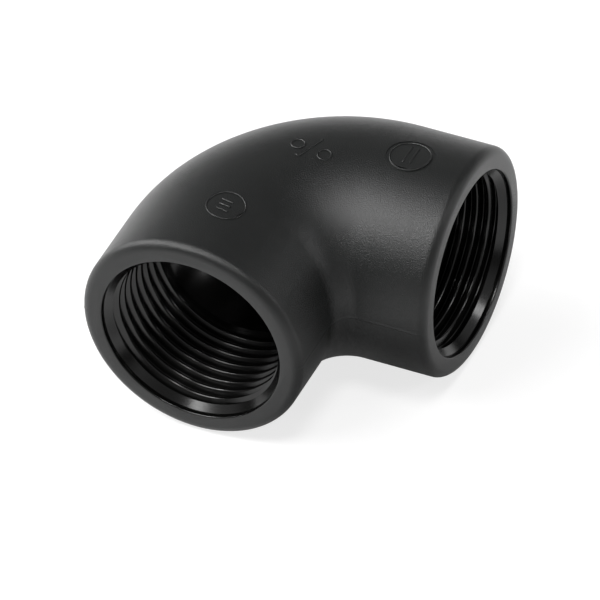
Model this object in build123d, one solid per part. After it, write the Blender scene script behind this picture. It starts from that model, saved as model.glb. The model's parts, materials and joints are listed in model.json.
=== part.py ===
from build123d import *
from math import radians, tan
import os

# One-inch 90 degree pipe elbow, moulded in one piece, with a female parallel thread in each port.
# It lies flat: both port axes are level, the inlet faces -Y and the outlet faces +X.
# The body is drawn round the point where the two port axes cross, then set down on its lowest
# lines, with the origin under the middle of its outline. All sizes are in millimetres.

# Thread in both ports: one-inch parallel pipe thread, 11 turns to the inch, 55 degree form
thread_major_radius = 16.624
thread_pitch = 2.309
thread_height_per_pitch = 0.640327

# Mouth of each port, from the face inwards: a shallow counterbore, then a cone down to the thread
counterbore_clearance = 0.276
counterbore_depth = 1.2
lead_in_angle = 50.0

# Outer body
centre_to_face = 37.0
mouth_wall = 4.1
throat_radius = 0.5
rim_fillet = 1.8

# Smooth waterway round the bend, between the two threaded bores
waterway_step = 0.75
waterway_throat_radius = 1.5

# What follows from them
thread_minor_radius = thread_major_radius - thread_height_per_pitch * thread_pitch
counterbore_radius = thread_major_radius + counterbore_clearance
lead_in_depth = (counterbore_radius - thread_minor_radius) / tan(radians(lead_in_angle))
body_radius = counterbore_radius + mouth_wall
waterway_radius = thread_minor_radius - waterway_step

# The body's bend and the waterway's each clear their own pivot by a small throat radius. The waterway
# turns the sharper corner of the two, which keeps the back wall about as thick as the mouth wall.
body_bend_radius = body_radius + throat_radius
waterway_bend_radius = waterway_radius + waterway_throat_radius


def rail(bend_radius):
    """Level line from the inlet face, round the bend, to the outlet face."""
    inlet_leg = Line((0, -centre_to_face), (0, -bend_radius))
    bend = RadiusArc((0, -bend_radius), (bend_radius, 0), bend_radius)
    outlet_leg = Line((bend_radius, 0), (centre_to_face, 0))
    return Wire([inlet_leg, bend, outlet_leg])


def tube(mouth, radius, bend_radius):
    """Solid round bar from one face to the other."""
    return sweep(mouth * Circle(radius), path=rail(bend_radius))


def port_bore():
    """Space inside a port whose axis is Z and whose mouth faces up at Z = 0.

    The bore ends where the waterway begins to bend, on a narrow shoulder.
    """
    lead_in_end = counterbore_depth + lead_in_depth
    bore_end = centre_to_face - waterway_bend_radius
    profile = Polyline(
        (0, 0),
        (counterbore_radius, 0),
        (counterbore_radius, -counterbore_depth),
        (thread_minor_radius, -lead_in_end),
        (thread_minor_radius, -bore_end),
        (0, -bore_end),
        close=True,
    )
    return revolve(Plane.XZ * make_face(profile), axis=Axis.Z)


inlet_mouth = Plane(origin=(0, -centre_to_face, 0), x_dir=(1, 0, 0), z_dir=(0, -1, 0))
outlet_mouth = Plane(origin=(centre_to_face, 0, 0), x_dir=(0, 1, 0), z_dir=(1, 0, 0))

# Outside: a bent round bar with a rounded rim at each end
bar = tube(inlet_mouth, body_radius, body_bend_radius)
rims = [bar.faces().sort_by(Axis.Y)[0].edge(), bar.faces().sort_by(Axis.X)[-1].edge()]
elbow = fillet(rims, rim_fillet)

# Inside: the waterway, then the bore of each port
elbow -= tube(inlet_mouth, waterway_radius, waterway_bend_radius)
elbow -= inlet_mouth * port_bore()
elbow -= outlet_mouth * port_bore()

# Set down on its lowest lines, with the origin under the middle of its outline
middle = (centre_to_face - body_radius) / 2
elbow = Pos(-middle, middle, body_radius) * elbow

os.makedirs("parts", exist_ok=True)
elbow.label = "elbow_body"
export_step(elbow, "parts/elbow_body.step")
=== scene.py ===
"""Right-angle plastic pipe elbow with a threaded port at each end, lying on a pale studio floor."""
import json
import logging
from dataclasses import dataclass, field
from enum import Enum
from math import cos, hypot, pi, radians, sin, tan
from typing import Any, Callable, Mapping, Sequence

import bpy
from mathutils import Matrix, Vector

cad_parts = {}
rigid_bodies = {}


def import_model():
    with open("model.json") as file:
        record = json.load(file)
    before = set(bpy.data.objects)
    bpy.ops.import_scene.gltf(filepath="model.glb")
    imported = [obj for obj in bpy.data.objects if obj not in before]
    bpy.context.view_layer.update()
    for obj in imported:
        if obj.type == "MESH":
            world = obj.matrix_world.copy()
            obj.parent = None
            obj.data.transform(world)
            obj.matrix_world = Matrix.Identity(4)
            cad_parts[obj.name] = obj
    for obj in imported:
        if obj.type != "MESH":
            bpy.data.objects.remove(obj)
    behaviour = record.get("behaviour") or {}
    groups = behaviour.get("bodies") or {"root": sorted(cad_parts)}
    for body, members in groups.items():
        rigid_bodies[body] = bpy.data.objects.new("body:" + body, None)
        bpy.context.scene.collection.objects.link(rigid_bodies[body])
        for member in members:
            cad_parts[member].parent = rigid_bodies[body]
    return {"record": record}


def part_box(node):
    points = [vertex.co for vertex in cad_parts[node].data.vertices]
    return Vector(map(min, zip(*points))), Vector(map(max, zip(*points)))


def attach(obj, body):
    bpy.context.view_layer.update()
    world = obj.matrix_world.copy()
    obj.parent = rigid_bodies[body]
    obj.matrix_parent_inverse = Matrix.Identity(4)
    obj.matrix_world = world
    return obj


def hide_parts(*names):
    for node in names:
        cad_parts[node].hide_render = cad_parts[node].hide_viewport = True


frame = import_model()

log = logging.getLogger("elbow")
MM = 0.001

# Points closer than this are welded into one
WELD = 0.0005 * MM
# How far a point may lie from a line or plane that it is meant to be on
TOLERANCE = 0.01 * MM


class Port(Enum):
    """The two equal ports, each with the direction in which its mouth looks."""

    INLET = (0.0, -1.0, 0.0)
    OUTLET = (1.0, 0.0, 0.0)


class Cut(Enum):
    """What a second solid does to the first one."""

    TAKE_AWAY = "DIFFERENCE"
    JOIN = "UNION"
    KEEP_COMMON = "INTERSECT"


# Modelling helpers


def start_clean() -> None:
    """Leaves nothing selected and the scene in object mode."""
    if bpy.context.object and bpy.context.object.mode != "OBJECT":
        bpy.ops.object.mode_set(mode="OBJECT")
    bpy.ops.object.select_all(action="DESELECT")


def choose(piece: bpy.types.Object) -> None:
    """Makes one piece the only selected and active one.

    Args:
        piece: The piece that the next operators act on.
    """
    start_clean()
    piece.select_set(True)
    bpy.context.view_layer.objects.active = piece


def settle(piece: bpy.types.Object) -> None:
    """Puts a piece's place, turn and scale into its mesh."""
    choose(piece)
    bpy.ops.object.transform_apply(location=True, rotation=True, scale=True)


def edit(piece: bpy.types.Object) -> None:
    """Opens one piece in edit mode."""
    choose(piece)
    bpy.ops.object.mode_set(mode="EDIT")


def pick_faces(piece: bpy.types.Object, wanted: Callable[[Vector], bool]) -> None:
    """Selects the faces of a piece whose middle passes a test, and leaves it in edit mode.

    Args:
        piece: The piece whose faces are looked at.
        wanted: Test of a face's middle point, in metres.
    """
    edit(piece)
    bpy.ops.mesh.select_mode(type="FACE")
    bpy.ops.mesh.select_all(action="DESELECT")
    bpy.ops.object.mode_set(mode="OBJECT")
    for polygon in piece.data.polygons:
        polygon.select = wanted(polygon.center)
    bpy.ops.object.mode_set(mode="EDIT")


def pick_points(piece: bpy.types.Object, wanted: Callable[[Vector], bool]) -> None:
    """Selects the points of a piece that pass a test, and leaves it in edit mode.

    Args:
        piece: The piece whose points are looked at.
        wanted: Test of a point's place, in metres.
    """
    edit(piece)
    bpy.ops.mesh.select_mode(type="VERT")
    bpy.ops.mesh.select_all(action="DESELECT")
    bpy.ops.object.mode_set(mode="OBJECT")
    for point in piece.data.vertices:
        point.select = wanted(point.co)
    bpy.ops.object.mode_set(mode="EDIT")


def weld(piece: bpy.types.Object, gap: float = WELD) -> None:
    """Merges points that lie close together, and leaves the piece in edit mode.

    Args:
        piece: The piece to be welded.
        gap: How close two points have to be.
    """
    edit(piece)
    bpy.ops.mesh.select_all(action="SELECT")
    bpy.ops.mesh.remove_doubles(threshold=gap)


def face_outwards(piece: bpy.types.Object) -> None:
    """Turns all faces of a piece outwards.

    Args:
        piece: The piece, in any mode, which ends in object mode.
    """
    edit(piece)
    bpy.ops.mesh.select_all(action="SELECT")
    bpy.ops.mesh.normals_make_consistent(inside=False)
    start_clean()


def close_skin(piece: bpy.types.Object) -> None:
    """Merges doubles, fills open ends and turns all faces outwards.

    Args:
        piece: The piece to be made a closed solid.
    """
    weld(piece)
    bpy.ops.mesh.select_all(action="SELECT")
    bpy.ops.mesh.fill_holes(sides=0)
    face_outwards(piece)


def combine(piece: bpy.types.Object, tool: bpy.types.Object, cut: Cut) -> None:
    """Works a second solid into a piece and removes that solid.

    Args:
        piece: The solid that stays.
        tool: The solid that is used up.
        cut: What the second solid does to the first.
    """
    choose(piece)
    change = piece.modifiers.new(tool.name, "BOOLEAN")
    change.operation = cut.value
    change.solver = "MANIFOLD"
    change.object = tool
    before = len(piece.data.polygons)
    bpy.ops.object.modifier_apply(modifier=change.name)
    after = len(piece.data.polygons)
    log.info("  %s %s: %d -> %d faces", cut.name, tool.name, before, after)
    mesh = tool.data
    bpy.data.objects.remove(tool, do_unlink=True)
    bpy.data.meshes.remove(mesh)


# Shapes of the elbow


@dataclass(frozen=True)
class Ring:
    """One ring of a lathe-like profile: how wide it is and how far below the port's face."""

    radius: float
    depth: float


def quarter_round(radius: float, rounding: float, steps: int) -> list[Ring]:
    """Rings of a quarter-round edge, from the port's face inwards.

    Args:
        radius: Radius where the edge ends.
        rounding: Radius of the edge, negative where it widens towards the face.
        steps: Number of flats.

    Returns:
        The rings, one more than there are flats.
    """
    turns = [pi / 2 * step / steps for step in range(steps + 1)]
    return [
        Ring(radius - rounding * (1.0 - sin(turn)), abs(rounding) * (1.0 - cos(turn)))
        for turn in turns
    ]


@dataclass(frozen=True)
class Layout:
    """Where the elbow's two level axes cross, and how far from there each port's face is."""

    crossing: Vector
    reach: float

    def mouth(self, port: Port) -> Vector:
        """Middle of a port's face."""
        return self.crossing + self.reach * Vector(port.value)


@dataclass
class BentBar:
    """Solid round bar that runs from one port's face, round the bend, to the other.

    Both ends have the same profile of rings. A narrow ridge can run along the bar's level
    middle, on both sides.
    """

    name: str
    layout: Layout
    rings: Sequence[Ring]
    bend_radius: float
    ridge_height: float = 0.0
    ridge_cuts: int = 4
    sides: int = 128
    bend_steps: int = 36

    def build(self) -> bpy.types.Object:
        """Models the bar.

        Returns:
            The closed bar.
        """
        first = self.rings[0]
        start = self.layout.mouth(Port.INLET) + Vector((0.0, first.depth, 0.0))
        start_clean()
        bpy.ops.mesh.primitive_circle_add(
            vertices=self.sides,
            radius=first.radius,
            fill_type="NOTHING",
            location=start,
            rotation=(pi / 2, 0.0, 0.0),
        )
        bar = bpy.context.object
        bar.name = self.name
        settle(bar)
        if self.ridge_height > 0.0:
            self.raise_ridge(bar)
        edit(bar)
        bpy.ops.mesh.select_mode(type="VERT")
        bpy.ops.mesh.select_all(action="SELECT")
        self.follow_rings(self.rings, Vector((0.0, 1.0, 0.0)), start)
        pivot = self.layout.crossing + Vector((self.bend_radius, -self.bend_radius, 0.0))
        last = self.rings[-1]
        leg = self.layout.reach - self.bend_radius - last.depth
        self.draw_out(Vector((0.0, leg, 0.0)))
        bpy.ops.mesh.spin(
            steps=self.bend_steps,
            dupli=False,
            angle=pi / 2,
            center=pivot,
            axis=(0.0, 0.0, 1.0),
        )
        self.draw_out(Vector((leg, 0.0, 0.0)))
        back = [Ring(ring.radius, -ring.depth) for ring in reversed(self.rings)]
        end = self.layout.mouth(Port.OUTLET) - Vector((last.depth, 0.0, 0.0))
        self.follow_rings(back, Vector((1.0, 0.0, 0.0)), end)
        close_skin(bar)
        return bar

    def raise_ridge(self, bar: bpy.types.Object) -> None:
        """Lifts one point on each side of the starting ring, between two close neighbours.

        Args:
            bar: The bar, which so far is only its starting ring.
        """
        middle = self.layout.crossing
        side_length = self.rings[0].radius * 2 * pi / self.sides
        neighbourhood = 1.2 * side_length
        pick_points(bar, lambda p: abs(p.z - middle.z) < neighbourhood)
        bpy.ops.mesh.subdivide(number_cuts=self.ridge_cuts)
        for side in (-1.0, 1.0):
            pick_points(
                bar, lambda p: abs(p.z - middle.z) < TOLERANCE and (p.x - middle.x) * side > 0.0
            )
            bpy.ops.transform.translate(value=(side * self.ridge_height, 0.0, 0.0))

    @staticmethod
    def draw_out(step: Vector) -> None:
        """Extrudes the selected ring by a step."""
        bpy.ops.mesh.extrude_region_move(TRANSFORM_OT_translate={"value": step})

    def follow_rings(self, rings: Sequence[Ring], way: Vector, centre: Vector) -> None:
        """Extrudes the selected ring through a chain of rings.

        Args:
            rings: The chain, whose first ring is the selected one.
            way: Direction in which depth grows.
            centre: Middle of the selected ring.
        """
        wide = Vector((1.0, 1.0, 1.0)) - Vector([abs(part) for part in way])
        for old, new in zip(rings, rings[1:]):
            step = way * (new.depth - old.depth)
            centre = centre + step
            self.draw_out(step)
            if new.radius != old.radius:
                grow = new.radius / old.radius
                scale = [grow if part else 1.0 for part in wide]
                bpy.ops.transform.resize(value=scale, center_override=centre)


def soften_throat(bar: bpy.types.Object, layout: Layout, bend_radius: float, radius: float) -> None:
    """Fills the inner corner of the bend, so that the arms run into each other softly.

    Every level slice of the corner keeps its two straight sides and gets a wider arc
    between them.

    Args:
        bar: The bent bar.
        layout: Where the axes cross.
        bend_radius: Radius round which the bar turns.
        radius: Radius of the corner at the bar's level middle.
    """
    pivot = layout.crossing + Vector((bend_radius, -bend_radius, 0.0))
    for point in bar.data.vertices:
        away = point.co - pivot
        near = hypot(away.x, away.y)
        if away.x > TOLERANCE or away.y < -TOLERANCE or near > bend_radius:
            continue
        fade = 1.0 - (near / bend_radius) ** 2
        more = (hypot(near, radius) - near) * fade
        point.co.x += more * (1.0 + away.x / near)
        point.co.y -= more * (1.0 - away.y / near)
    bar.data.update()


@dataclass
class ThreadTap:
    """Right-hand Whitworth-form screw whose surface leaves the female thread behind."""

    name: str
    first_crest: float
    bottom: float
    top: float = 2.4 * MM
    major_radius: float = 16.624 * MM
    pitch: float = 2.309 * MM
    flank_angle: float = radians(27.5)
    height_per_pitch: float = 0.640327
    rounding_per_pitch: float = 0.137329
    crest_rounding: float = 0.45 * MM
    arc_points: int = 4
    steps: int = 120
    spare_turns: int = 2
    cut_precision: float = 0.00001 * MM

    @property
    def root_rounding(self) -> float:
        """Radius of the rounded roots."""
        return self.rounding_per_pitch * self.pitch

    @property
    def crest_radius(self) -> float:
        """Radius at the crests, whose rounding is wider than that of the nominal form.

        Returns:
            The nominal minor radius and what the wider rounding wears off.
        """
        nominal = self.major_radius - self.height_per_pitch * self.pitch
        wear = (self.crest_rounding - self.root_rounding) * (1 / sin(self.flank_angle) - 1)
        return nominal + wear

    def profile(self) -> list[Vector]:
        """One whole pitch of the profile, from crest to crest.

        Returns:
            Points with the radius as X and the height as Z.
        """
        sweep = pi / 2 - self.flank_angle
        turns = [sweep * step / self.arc_points for step in range(self.arc_points + 1)]
        rise = []
        for turn in turns:
            radius = self.crest_radius + self.crest_rounding * (1 - cos(turn))
            rise.append(Vector((radius, 0.0, self.crest_rounding * sin(turn))))
        for turn in reversed(turns):
            radius = self.major_radius - self.root_rounding * (1 - cos(turn))
            rise.append(Vector((radius, 0.0, self.pitch / 2 - self.root_rounding * sin(turn))))
        fall = [Vector((p.x, 0.0, self.pitch - p.z)) for p in reversed(rise[:-1])]
        return rise + fall

    def build(self, layout: Layout, port: Port) -> bpy.types.Object:
        """Models the tap and sets it in a port.

        Args:
            layout: Where the ports are.
            port: The port that it cuts.

        Returns:
            The closed tap.
        """
        turns = int((self.bottom - self.top) / self.pitch) + 2 * self.spare_turns
        start = -self.first_crest - self.pitch * (turns - self.spare_turns)
        points = self.profile()
        start_clean()
        # A triangle merged into its middle is the one point from which the profile is drawn
        bpy.ops.mesh.primitive_circle_add(
            vertices=3, radius=self.major_radius, fill_type="NOTHING"
        )
        tap = bpy.context.object
        tap.name = self.name
        edit(tap)
        bpy.ops.mesh.select_mode(type="VERT")
        bpy.ops.mesh.select_all(action="SELECT")
        bpy.ops.mesh.merge(type="CENTER")
        bpy.ops.transform.translate(value=points[0] + Vector((0.0, 0.0, start)))
        for old, new in zip(points, points[1:]):
            bpy.ops.mesh.extrude_region_move(TRANSFORM_OT_translate={"value": new - old})
        choose(tap)
        screw = tap.modifiers.new("turns", "SCREW")
        screw.axis = "Z"
        screw.angle = 2 * pi
        screw.screw_offset = self.pitch
        screw.iterations = turns
        screw.steps = self.steps
        screw.render_steps = self.steps
        screw.use_merge_vertices = True
        screw.merge_threshold = WELD
        screw.use_smooth_shade = False
        bpy.ops.object.modifier_apply(modifier=screw.name)
        weld(tap)
        for depth, outer in ((self.top, True), (self.bottom, False)):
            bpy.ops.mesh.select_all(action="SELECT")
            bpy.ops.mesh.bisect(
                plane_co=(0.0, 0.0, -depth),
                plane_no=(0.0, 0.0, 1.0),
                use_fill=True,
                clear_outer=outer,
                clear_inner=not outer,
                threshold=self.cut_precision,
            )
        close_skin(tap)
        tap.rotation_mode = "QUATERNION"
        tap.rotation_quaternion = Vector((0.0, 0.0, 1.0)).rotation_difference(Vector(port.value))
        tap.location = layout.mouth(port)
        settle(tap)
        return tap


def flat(x: float, y: float) -> Vector:
    """Level vector, given in millimetres."""
    return Vector((x, y, 0.0)) * MM


@dataclass
class TopMarks:
    """Small raised marks on top of the elbow, at places given from where its axes cross."""

    layout: Layout
    line: float = 0.3 * MM
    edge_break: float = 0.1 * MM
    sharp_edge: float = radians(55.0)
    floor_height: float = 18.6 * MM
    top_height: float = 22.5 * MM
    ring_sides: int = 64
    bar_end_rounding: float = 0.25
    bar_end_points: int = 3

    left_ring: Vector = field(default_factory=lambda: flat(1.6, -23.8))
    left_ring_radius: float = 3.55 * MM
    rung_shifts: Sequence[tuple[float, float]] = ((-0.2, -1.2), (-0.2, 0.0), (-0.2, 1.2))
    rung_length: float = 2.2 * MM
    rung_width: float = 0.45 * MM
    rung_turn: float = radians(-6.0)

    right_ring: Vector = field(default_factory=lambda: flat(25.6, 0.15))
    right_ring_radius: float = 3.75 * MM
    tally_shifts: Sequence[tuple[float, float]] = ((-0.65, 0.2), (0.65, 0.2))
    tally_length: float = 4.4 * MM
    tally_width: float = 0.3 * MM
    tally_turn: float = radians(90.0)

    sunk_radius: float = 4.3 * MM
    sunk_line: float = 0.5 * MM
    sunk_depth: float = 0.12 * MM

    bar: Vector = field(default_factory=lambda: flat(8.45, -4.3))
    bar_length: float = 6.3 * MM
    bar_width: float = 0.95 * MM
    bar_turn: float = radians(69.0)
    dots: Sequence[tuple[float, float]] = ((6.3, -4.2), (11.7, -5.1))
    dot_radius: float = 1.35 * MM

    def base(self, place: Vector) -> Vector:
        """Foot of a prism that stands at a place given from where the axes cross."""
        return self.layout.crossing + place + Vector((0.0, 0.0, self.floor_height))

    def raise_outline(self, outline: bpy.types.Object) -> bpy.types.Object:
        """Draws a flat outline up into a closed prism.

        Args:
            outline: The outline, open in edit mode.

        Returns:
            The same piece, now a prism, in object mode.
        """
        bpy.ops.mesh.select_all(action="SELECT")
        bpy.ops.mesh.extrude_region_move(
            TRANSFORM_OT_translate={"value": (0.0, 0.0, self.top_height - self.floor_height)}
        )
        face_outwards(outline)
        return outline

    def prism_ring(
        self, name: str, place: Vector, radius: float, line: float
    ) -> bpy.types.Object:
        """Models an upright tube.

        Args:
            name: Name of the piece.
            place: Middle of the ring, from where the axes cross.
            radius: Outer radius.
            line: Thickness of the wall.

        Returns:
            The closed tube.
        """
        start_clean()
        bpy.ops.mesh.primitive_circle_add(
            vertices=self.ring_sides, radius=radius, fill_type="NGON", location=self.base(place)
        )
        ring = bpy.context.object
        ring.name = name
        settle(ring)
        edit(ring)
        bpy.ops.mesh.select_mode(type="FACE")
        bpy.ops.mesh.select_all(action="SELECT")
        bpy.ops.mesh.inset(thickness=line)
        bpy.ops.mesh.delete(type="FACE")
        return self.raise_outline(ring)

    def prism_bar(
        self, name: str, place: Vector, length: float, width: float, turn: float
    ) -> bpy.types.Object:
        """Models an upright flat bar with rounded ends.

        Args:
            name: Name of the piece.
            place: Middle of the bar, from where the axes cross.
            length: Length on the surface.
            width: Width on the surface.
            turn: Angle of its length from +X.

        Returns:
            The closed bar.
        """
        start_clean()
        bpy.ops.mesh.primitive_plane_add(
            size=1.0, location=self.base(place), rotation=(0.0, 0.0, turn)
        )
        bar = bpy.context.object
        bar.name = name
        bar.scale = (length, width, 1.0)
        settle(bar)
        edit(bar)
        bpy.ops.mesh.select_mode(type="VERT")
        bpy.ops.mesh.select_all(action="SELECT")
        bpy.ops.mesh.bevel(
            offset=self.bar_end_rounding * width, segments=self.bar_end_points, affect="VERTICES"
        )
        return self.raise_outline(bar)

    def build(self) -> list[bpy.types.Object]:
        """Models every mark as an upright prism, to be trimmed to the elbow's surface.

        Returns:
            The prisms, one for each mark.
        """
        marks = [
            self.prism_ring("left_ring", self.left_ring, self.left_ring_radius, self.line),
            self.prism_ring("right_ring", self.right_ring, self.right_ring_radius, self.line),
            self.prism_bar("bar", self.bar, self.bar_length, self.bar_width, self.bar_turn),
        ]
        for number, shift in enumerate(self.tally_shifts):
            place = self.right_ring + flat(*shift)
            size = self.tally_length, self.tally_width
            marks.append(self.prism_bar(f"tally_{number}", place, *size, self.tally_turn))
        for number, shift in enumerate(self.rung_shifts):
            place = self.left_ring + flat(*shift)
            size = self.rung_length, self.rung_width
            marks.append(self.prism_bar(f"rung_{number}", place, *size, self.rung_turn))
        for name, place in zip(("dot_left", "dot_right"), self.dots):
            marks.append(self.prism_ring(name, flat(*place), self.dot_radius, self.line))
        return marks

    def build_sunk(self) -> bpy.types.Object:
        """Models the band round the right ring as an upright tube, to be cut into the top."""
        return self.prism_ring("sunk_band", self.right_ring, self.sunk_radius, self.sunk_line)

    def break_edge(self, mark: bpy.types.Object) -> None:
        """Bevels the upper rim of a trimmed mark, so that it catches the light.

        Args:
            mark: The mark, already trimmed to the elbow's surface.
        """
        floor = min(point.co.z for point in mark.data.vertices) + self.edge_break
        edit(mark)
        bpy.ops.mesh.select_mode(type="EDGE")
        bpy.ops.mesh.select_all(action="DESELECT")
        bpy.ops.mesh.edges_select_sharp(sharpness=self.sharp_edge)
        bpy.ops.object.mode_set(mode="OBJECT")
        points = mark.data.vertices
        for edge in mark.data.edges:
            if any(points[number].co.z < floor for number in edge.vertices):
                edge.select = False
        bpy.ops.object.mode_set(mode="EDIT")
        bpy.ops.mesh.bevel(offset=self.edge_break, segments=1, clamp_overlap=False)
        start_clean()


# Shader graphs


class Signal:
    """Output of a shader node, on which arithmetic adds Math nodes."""

    def __init__(self, graph: "Graph", socket: bpy.types.NodeSocket) -> None:
        """Wraps a socket of a graph."""
        self.graph = graph
        self.socket = socket

    def _math(self, operation: str, first: Any, second: Any) -> "Signal":
        """Adds one Math node."""
        return self.graph.node("ShaderNodeMath", {"operation": operation}, {0: first, 1: second})

    def __add__(self, other: Any) -> "Signal":
        """Sum."""
        return self._math("ADD", self, other)

    def __mul__(self, other: Any) -> "Signal":
        """Product."""
        return self._math("MULTIPLY", self, other)

    def at_most(self, other: Any) -> "Signal":
        """Smaller of two values."""
        return self._math("MINIMUM", self, other)


class Graph:
    """Node tree of a material or of the world, filled through one method."""

    def __init__(self, owner: Any) -> None:
        """Empties the owner's tree.

        Args:
            owner: The material or world that the tree belongs to.
        """
        owner.use_nodes = True
        self.tree = owner.node_tree
        self.tree.nodes.clear()

    def node(
        self, kind: str, settings: Mapping[str, Any], inputs: Mapping[Any, Any], output: Any = 0
    ) -> Signal:
        """Adds a node.

        Args:
            kind: Blender's name of the node type.
            settings: Its settings, and for a ramp its stops under "stops".
            inputs: Values or links of its sockets, by name or number.
            output: Name or number of the output that is handed back.

        Returns:
            The chosen output.
        """
        made = self.tree.nodes.new(kind)
        for key, value in settings.items():
            if key == "stops":
                ramp = made.color_ramp.elements
                while len(ramp) < len(value):
                    ramp.new(0.5)
                for stop, (position, shade) in zip(ramp, value):
                    stop.position = position
                    stop.color = (shade, shade, shade, 1.0)
            else:
                setattr(made, key, value)
        for key, value in inputs.items():
            if isinstance(value, Signal):
                self.tree.links.new(value.socket, made.inputs[key])
            else:
                made.inputs[key].default_value = value
        return Signal(self, made.outputs[output] if made.outputs else None)

    def noise(self, where: Signal, scale: float, detail: float, roughness: float = 0.5) -> Signal:
        """Even noise of a given scale per metre.

        Args:
            where: Coordinates.
            scale: Features per metre.
            detail: How many octaves are added.
            roughness: Weight of the finer octaves.

        Returns:
            The noise, from 0 to 1.
        """
        return self.node(
            "ShaderNodeTexNoise",
            {},
            {"Vector": where, "Scale": scale, "Detail": detail, "Roughness": roughness},
            "Fac",
        )

    def between(self, mask: Signal, low: float, high: float) -> Signal:
        """Spreads a mask over a range of values."""
        return self.node(
            "ShaderNodeMapRange", {}, {"Value": mask, "To Min": low, "To Max": high}
        )

    def blend(self, mask: Signal, first: Sequence[float], second: Sequence[float]) -> Signal:
        """Mixes two colours by a mask."""
        return self.node(
            "ShaderNodeMix", {"data_type": "RGBA"}, {0: mask, 6: first, 7: second}, 2
        )


@dataclass(frozen=True)
class MouldedSkin:
    """Fine-grained or smooth surface of dark moulded plastic."""

    name: str
    shade: tuple[float, float, float]
    pale_shade: tuple[float, float, float]
    roughness: float
    roughness_spread: float
    grain_size: float
    grain_depth: float
    ripple_depth: float
    ripple_scale: float = 420.0
    cloud_scale: float = 140.0
    cloud_share: float = 0.6
    speck_fineness: float = 0.6
    refraction: float = 1.49

    def build(self) -> bpy.types.Material:
        """Makes the material.

        Returns:
            The material, with its grain, faint flow marks and uneven gloss.
        """
        material = bpy.data.materials.new(self.name)
        graph = Graph(material)
        place = graph.node("ShaderNodeTexCoord", {}, {}, "Object")
        clouds = graph.noise(place, self.cloud_scale, 3.0)
        specks = graph.noise(place, self.speck_fineness / self.grain_size, 1.0)
        grain = graph.noise(place, 1.0 / self.grain_size, 2.0, 0.6)
        ripple = graph.noise(place, self.ripple_scale, 2.0)
        mottling = clouds * self.cloud_share + specks * (1.0 - self.cloud_share)
        colour = graph.blend(mottling, self.shade + (1.0,), self.pale_shade + (1.0,))
        gloss = graph.between(
            clouds * 0.5 + specks * 0.5,
            self.roughness - self.roughness_spread,
            self.roughness + self.roughness_spread,
        )
        waves = graph.node(
            "ShaderNodeBump", {}, {"Strength": 1.0, "Distance": self.ripple_depth, "Height": ripple}
        )
        normal = graph.node(
            "ShaderNodeBump",
            {},
            {"Strength": 1.0, "Distance": self.grain_depth, "Height": grain, "Normal": waves},
        )
        skin = graph.node(
            "ShaderNodeBsdfPrincipled",
            {},
            {"Base Color": colour, "Roughness": gloss, "Normal": normal, "IOR": self.refraction},
        )
        graph.node("ShaderNodeOutputMaterial", {}, {"Surface": skin})
        return material


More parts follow.
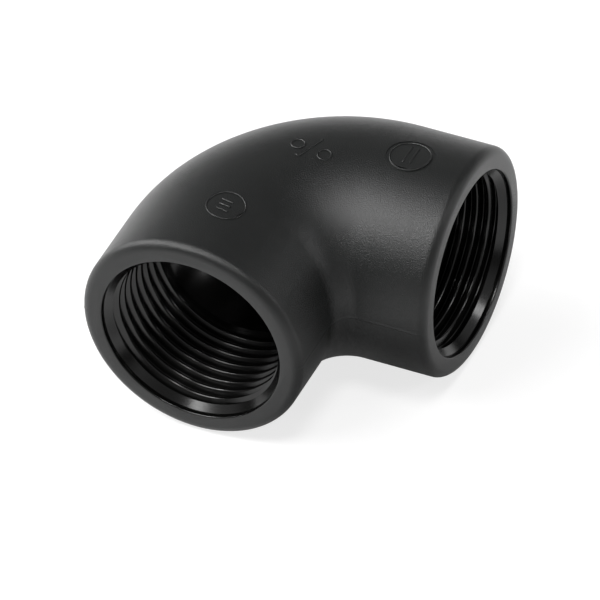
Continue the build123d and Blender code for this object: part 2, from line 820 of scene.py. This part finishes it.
@dataclass
class Elbow:
    """The elbow: outer body, raised marks, inner spaces and thread, in one piece."""

    layout: Layout
    envelope_radius: float
    relief: float = 0.2 * MM
    mark_gap: float = 0.02 * MM
    ridge: float = 0.05 * MM
    rim_rounding: float = 1.8 * MM
    rim_points: int = 8
    throat: float = 0.5 * MM
    soft_throat: float = 3.6 * MM

    counterbore_radius: float = 16.9 * MM
    counterbore_depth: float = 0.8 * MM
    mouth_overshoot: float = 1.0 * MM
    lip_rounding: float = 0.28 * MM
    lip_points: int = 4
    groove_depth: float = 0.08 * MM
    groove_slope: float = 0.06 * MM
    groove_width: float = 0.12 * MM
    cone_step: float = 0.1 * MM
    cone_end_radius: float = 15.72 * MM
    cone_angle: float = radians(42.0)
    run_in_radius: float = 16.45 * MM
    run_in_slope: float = 0.15 * MM
    run_in_width: float = 0.5 * MM
    flank_slope: float = 0.52

    minor_radius: float = 15.1455 * MM
    minor_bore_end: float = 21.1045 * MM
    pilot_allowance: float = 0.25 * MM
    run_out_start: float = 0.3 * MM
    run_out_end: float = 0.05 * MM
    inlet_first_crest: float = 3.1 * MM
    outlet_first_crest: float = 2.2 * MM
    waterway_step: float = 0.75 * MM
    waterway_throat: float = 1.5 * MM

    last_weld: float = 0.0004 * MM
    smooth_angle: float = radians(32.0)
    face_margin: float = 0.02 * MM
    bore_margin: float = 0.05 * MM
    bend_margin: float = 0.5 * MM

    outer_skin: MouldedSkin = MouldedSkin(
        name="grained_black_plastic",
        shade=(0.0066, 0.0072, 0.0071),
        pale_shade=(0.0092, 0.0099, 0.0096),
        roughness=0.31,
        roughness_spread=0.05,
        grain_size=0.2 * MM,
        grain_depth=0.075 * MM,
        ripple_depth=0.02 * MM,
    )
    # Smoother plastic of the ports and waterway; its colour, darker than the outside's, is painted
    # shade in these hollows.
    inner_skin: MouldedSkin = MouldedSkin(
        name="smooth_black_plastic_painted_shade",
        shade=(0.0016, 0.0016, 0.0015),
        pale_shade=(0.0026, 0.0026, 0.0024),
        roughness=0.2,
        roughness_spread=0.04,
        grain_size=0.3 * MM,
        grain_depth=0.003 * MM,
        ripple_depth=0.008 * MM,
    )

    @property
    def body_bend(self) -> float:
        """Radius round which the outer body turns."""
        return self.envelope_radius + self.throat

    @property
    def waterway_radius(self) -> float:
        """Radius of the smooth waterway."""
        return self.minor_radius - self.waterway_step

    @property
    def waterway_bend(self) -> float:
        """Radius round which the waterway turns."""
        return self.waterway_radius + self.waterway_throat

    @property
    def groove_radius(self) -> float:
        """Radius of the small groove at the foot of the counterbore's wall."""
        return self.counterbore_radius + self.groove_depth

    @property
    def thread_end(self) -> float:
        """Depth below a port's face at which the thread ends."""
        return self.layout.reach - self.counterbore_radius

    def outer_bar(self, name: str, radius: float, ridge: float = 0.0) -> bpy.types.Object:
        """Models a solid bar with the body's bend and rounded rims.

        Args:
            name: Name of the piece.
            radius: Radius of both arms.
            ridge: Height of the ridge along its level middle.

        Returns:
            The closed bar.
        """
        rim = quarter_round(radius, self.rim_rounding, self.rim_points)
        return BentBar(name, self.layout, rim, self.body_bend, ridge).build()

    def bore_rings(self) -> list[Ring]:
        """Inner profile of a port, from just outside its face down to the waterway.

        Returns:
            The rings, of which the plain ones under the thread are cut wider by its tap.
        """
        wall = self.counterbore_radius
        groove_end = self.counterbore_depth + self.groove_width
        cone_start = wall - self.cone_step
        cone_end = groove_end + (cone_start - self.cone_end_radius) / tan(self.cone_angle)
        run_in = cone_end + self.run_in_slope
        run_in_end = run_in + self.run_in_width
        pilot = self.minor_radius - self.pilot_allowance
        pilot_start = run_in_end + (self.run_in_radius - pilot) * self.flank_slope
        return [
            Ring(wall + self.lip_rounding, -self.mouth_overshoot),
            *quarter_round(wall, -self.lip_rounding, self.lip_points),
            Ring(wall, self.counterbore_depth - self.groove_slope),
            Ring(self.groove_radius, self.counterbore_depth),
            Ring(self.groove_radius, groove_end),
            Ring(cone_start, groove_end),
            Ring(self.cone_end_radius, cone_end),
            Ring(self.run_in_radius, run_in),
            Ring(self.run_in_radius, run_in_end),
            Ring(pilot, pilot_start),
            Ring(pilot, self.thread_end - self.run_out_start),
            Ring(self.minor_radius, self.thread_end - self.run_out_end),
            Ring(self.minor_radius, self.minor_bore_end),
            Ring(self.waterway_radius, self.minor_bore_end),
        ]

    def build(self) -> bpy.types.Object:
        """Models the elbow.

        Returns:
            The finished piece.
        """
        radius = self.envelope_radius - self.relief
        body = self.outer_bar("elbow", radius, self.ridge)
        soften_throat(body, self.layout, self.body_bend, self.soft_throat)
        log.info("outer body: %d faces", len(body.data.polygons))
        self.add_marks(body, radius)
        core = BentBar("core", self.layout, self.bore_rings(), self.waterway_bend).build()
        combine(body, core, Cut.TAKE_AWAY)
        for port, crest in (
            (Port.INLET, self.inlet_first_crest),
            (Port.OUTLET, self.outlet_first_crest),
        ):
            tap = ThreadTap(f"tap_{port.name.lower()}", crest, self.thread_end)
            combine(body, tap.build(self.layout, port), Cut.TAKE_AWAY)
        weld(body, self.last_weld)
        start_clean()
        self.dress(body)
        choose(body)
        bpy.ops.object.shade_smooth_by_angle(angle=self.smooth_angle)
        return body

    def add_marks(self, body: bpy.types.Object, radius: float) -> None:
        """Sinks one band into the top and raises the marks there.

        Args:
            body: The outer body.
            radius: Radius of its arms.
        """
        marks = TopMarks(self.layout)
        band = marks.build_sunk()
        combine(band, self.outer_bar("band_floor", radius - marks.sunk_depth), Cut.TAKE_AWAY)
        combine(body, band, Cut.TAKE_AWAY)
        for mark in marks.build():
            hull = self.outer_bar("mark_limit", self.envelope_radius - self.mark_gap)
            combine(mark, hull, Cut.KEEP_COMMON)
            marks.break_edge(mark)
            combine(body, mark, Cut.JOIN)

    def is_inside(self, point: Vector) -> bool:
        """Tells the inner spaces from the outside.

        Args:
            point: A point of the elbow's surface.

        Returns:
            Whether it belongs to a port or to the waterway.
        """
        away = point - self.layout.crossing
        below_face = self.layout.reach - self.face_margin
        widest_bore = self.groove_radius + self.bore_margin
        widest_bend = self.minor_radius + self.bend_margin
        if away.y < -self.waterway_bend and hypot(away.x, away.z) < widest_bore:
            return away.y > -below_face
        if away.x > self.waterway_bend and hypot(away.y, away.z) < widest_bore:
            return away.x < below_face
        if away.y < -self.waterway_bend or away.x > self.waterway_bend:
            return False
        turn = hypot(away.x - self.waterway_bend, away.y + self.waterway_bend)
        return hypot(turn - self.waterway_bend, away.z) < widest_bend

    def dress(self, body: bpy.types.Object) -> None:
        """Gives the outside its grained skin and the inner spaces their smooth one, darker as
        painted shade.

        Args:
            body: The finished elbow.
        """
        body.data.materials.clear()
        body.data.materials.append(self.outer_skin.build())
        body.data.materials.append(self.inner_skin.build())
        pick_faces(body, self.is_inside)
        body.active_material_index = 1
        bpy.ops.object.material_slot_assign()
        start_clean()


# Studio


def direction(azimuth: float, elevation: float) -> Vector:
    """Unit vector from the elbow, turned from -Y towards +X and then raised, in degrees."""
    turn, rise = radians(azimuth), radians(elevation)
    return Vector((sin(turn) * cos(rise), -cos(turn) * cos(rise), sin(rise)))


@dataclass(frozen=True)
class SoftLamp:
    """Square soft lamp, placed by the direction in which it stands from the elbow."""

    name: str
    azimuth: float
    elevation: float
    size: float
    power: float
    distance: float = 1.0

    def build(self, aim: Vector) -> None:
        """Hangs the lamp and turns it to the elbow.

        Args:
            aim: The point that it shines on.
        """
        away = direction(self.azimuth, self.elevation)
        start_clean()
        bpy.ops.object.light_add(type="AREA", location=aim + away * self.distance)
        lamp = bpy.context.object
        lamp.name = self.name
        lamp.data.shape = "SQUARE"
        lamp.data.size = self.size
        lamp.data.energy = self.power
        lamp.rotation_mode = "QUATERNION"
        lamp.rotation_quaternion = away.to_track_quat("Z", "Y")


@dataclass
class Studio:
    """Pale floor, bright surroundings, soft lamps and the camera."""

    layout: Layout
    azimuth: float = 26.047
    elevation: float = 41.12
    roll: float = -2.396
    distance: float = 1.69
    aim_right: float = 3.63 * MM
    aim_up: float = -15.563 * MM
    half_view: float = 1.776
    sensor_width: float = 36.0
    near_clip: float = 0.05
    far_clip: float = 50.0
    lamps: Sequence[SoftLamp] = (
        SoftLamp("key", azimuth=-35.0, elevation=52.0, size=0.35, power=3.7),
        SoftLamp("key_left", azimuth=-60.0, elevation=47.0, size=0.2, power=2.6),
        SoftLamp("high_side", azimuth=-80.0, elevation=60.0, size=0.35, power=1.8),
        SoftLamp("low_side", azimuth=-95.0, elevation=25.0, size=0.35, power=4.5),
        SoftLamp("top", azimuth=27.0, elevation=69.0, size=0.22, power=3.4),
        SoftLamp("right", azimuth=109.0, elevation=26.0, size=0.18, power=1.1),
    )
    sky: Sequence[tuple[float, float]] = (
        (0.03, 0.9),
        (0.045, 0.03),
        (0.2, 0.06),
        (0.42, 0.5),
        (0.75, 0.12),
    )
    floor_size: float = 60.0
    floor_shade: float = 0.35
    floor_glow: float = 0.75
    glossy_share: float = 0.2
    # Painted shadow on the floor in the elbow's crook: its middle, where it starts and ends fading,
    # and the matt floor's colour inside and outside it.
    crook: tuple[float, float, float] = (33.0 * MM, -28.0 * MM, 0.0)
    crook_radius: float = 20.0 * MM
    crook_edge: float = 38.0 * MM
    crook_painted_shade: float = 0.3
    open_shade: float = 0.8

    def lay_floor(self) -> None:
        """Lays the floor, white to the camera and still darkened by the elbow's shadow.

        Other rays meet a matt grey floor with a painted shadow in the elbow's crook, darker there
        than farther out.
        """
        start_clean()
        bpy.ops.mesh.primitive_plane_add(size=self.floor_size)
        floor = bpy.context.object
        floor.name = "floor"
        material = bpy.data.materials.new("white_paper")
        graph = Graph(material)
        far = self.painted_shadow_fade(graph)
        seen = self.seen_directly(graph, far)
        # Painted shade: the matt floor is darker in the elbow's crook than farther out.
        shade = far * (self.open_shade - self.crook_painted_shade) + self.crook_painted_shade
        matt = graph.node("ShaderNodeBsdfDiffuse", {}, {"Color": shade})
        grey, white = (self.floor_shade,) * 3 + (1.0,), (1.0, 1.0, 1.0, 1.0)
        soft = graph.node("ShaderNodeBsdfDiffuse", {}, {"Color": grey})
        glow = graph.node("ShaderNodeEmission", {}, {"Color": white, "Strength": self.floor_glow})
        bright = graph.node("ShaderNodeAddShader", {}, {0: soft, 1: glow})
        paper = graph.node("ShaderNodeMixShader", {}, {0: seen, 1: matt, 2: bright})
        graph.node("ShaderNodeOutputMaterial", {}, {"Surface": paper})
        floor.data.materials.append(material)

    def painted_shadow_fade(self, graph: Graph) -> Signal:
        """Mask of the painted shadow on the floor in the crook of the elbow.

        Args:
            graph: The floor's tree.

        Returns:
            0 in the crook, rising to 1 farther out.
        """
        place = graph.node("ShaderNodeNewGeometry", {}, {}, "Position")
        away = graph.node(
            "ShaderNodeVectorMath", {"operation": "DISTANCE"}, {0: place, 1: self.crook}, "Value"
        )
        return graph.node(
            "ShaderNodeMapRange",
            {},
            {"Value": away, "From Min": self.crook_radius, "From Max": self.crook_edge},
        )

    def seen_directly(self, graph: Graph, far: Signal) -> Signal:
        """Sets how much of the bright floor a ray meets, in place of the matt one.

        Args:
            graph: The floor's tree.
            far: 0 in the painted shadow in the crook of the elbow and 1 farther out.

        Returns:
            1 for rays from the camera or through clear surfaces, a small share for rays off
            glossy ones outside the crook, which keeps the painted shadow in reflections, and 0 for
            the rest.
        """
        parts = [
            graph.node("ShaderNodeLightPath", {}, {}, name)
            for name in ("Is Camera Ray", "Is Glossy Ray", "Is Transmission Ray")
        ]
        return (parts[0] + parts[1] * far * self.glossy_share + parts[2]).at_most(1.0)

    def light_surroundings(self) -> None:
        """Makes the world: a bright rim at the horizon, a soft band higher up and a dim top."""
        world = bpy.data.worlds.new("studio")
        bpy.context.scene.world = world
        graph = Graph(world)
        way = graph.node("ShaderNodeTexCoord", {}, {}, "Generated")
        height = graph.node("ShaderNodeSeparateXYZ", {}, {0: way}, "Z")
        fall = graph.node("ShaderNodeValToRGB", {"stops": self.sky}, {0: height})
        sky = graph.node("ShaderNodeBackground", {}, {"Color": fall, "Strength": 1.0})
        graph.node("ShaderNodeOutputWorld", {}, {"Surface": sky})

    def place_camera(self) -> None:
        """Stands the camera at the photograph's viewing angle."""
        turn, tilt = radians(self.azimuth), radians(self.roll)
        back = direction(self.azimuth, self.elevation)
        level = Vector((cos(turn), sin(turn), 0.0))
        upright = back.cross(level)
        right = cos(tilt) * level + sin(tilt) * upright
        up = cos(tilt) * upright - sin(tilt) * level
        aim = self.layout.crossing + self.aim_right * right + self.aim_up * up
        start_clean()
        bpy.ops.object.camera_add()
        camera = bpy.context.object
        camera.name = "camera"
        facing = Matrix((right, up, back)).transposed().to_4x4()
        camera.matrix_world = Matrix.Translation(aim + self.distance * back) @ facing
        camera.data.sensor_width = self.sensor_width
        camera.data.lens = self.sensor_width / 2 / tan(radians(self.half_view))
        camera.data.clip_start = self.near_clip
        camera.data.clip_end = self.far_clip
        bpy.context.scene.camera = camera

    def build(self) -> None:
        """Sets up floor, light and camera."""
        self.lay_floor()
        self.light_surroundings()
        for lamp in self.lamps:
            lamp.build(self.layout.crossing)
        self.place_camera()
        bpy.context.scene.view_settings.view_transform = "Standard"


def main() -> None:
    """Builds the elbow and the studio round it."""
    logging.basicConfig(level=logging.INFO, format="%(message)s")
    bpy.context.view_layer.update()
    low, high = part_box("elbow_body")
    mounts = {mount["name"]: mount for mount in frame["record"]["mounts"]}
    inlet, outlet = mounts["inlet"], mounts["outlet"]
    crossing = Vector((inlet["pos_m"][0], outlet["pos_m"][1], inlet["pos_m"][2]))
    layout = Layout(crossing, crossing.y - low.y)
    body = Elbow(layout, envelope_radius=(high.z - low.z) / 2).build()
    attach(body, "root")
    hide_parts("elbow_body")
    log.info("elbow: %d faces, rides on root", len(body.data.polygons))
    Studio(layout).build()
    log.info("studio: floor, lamps and camera in place")


if __name__ == "__main__":
    main()
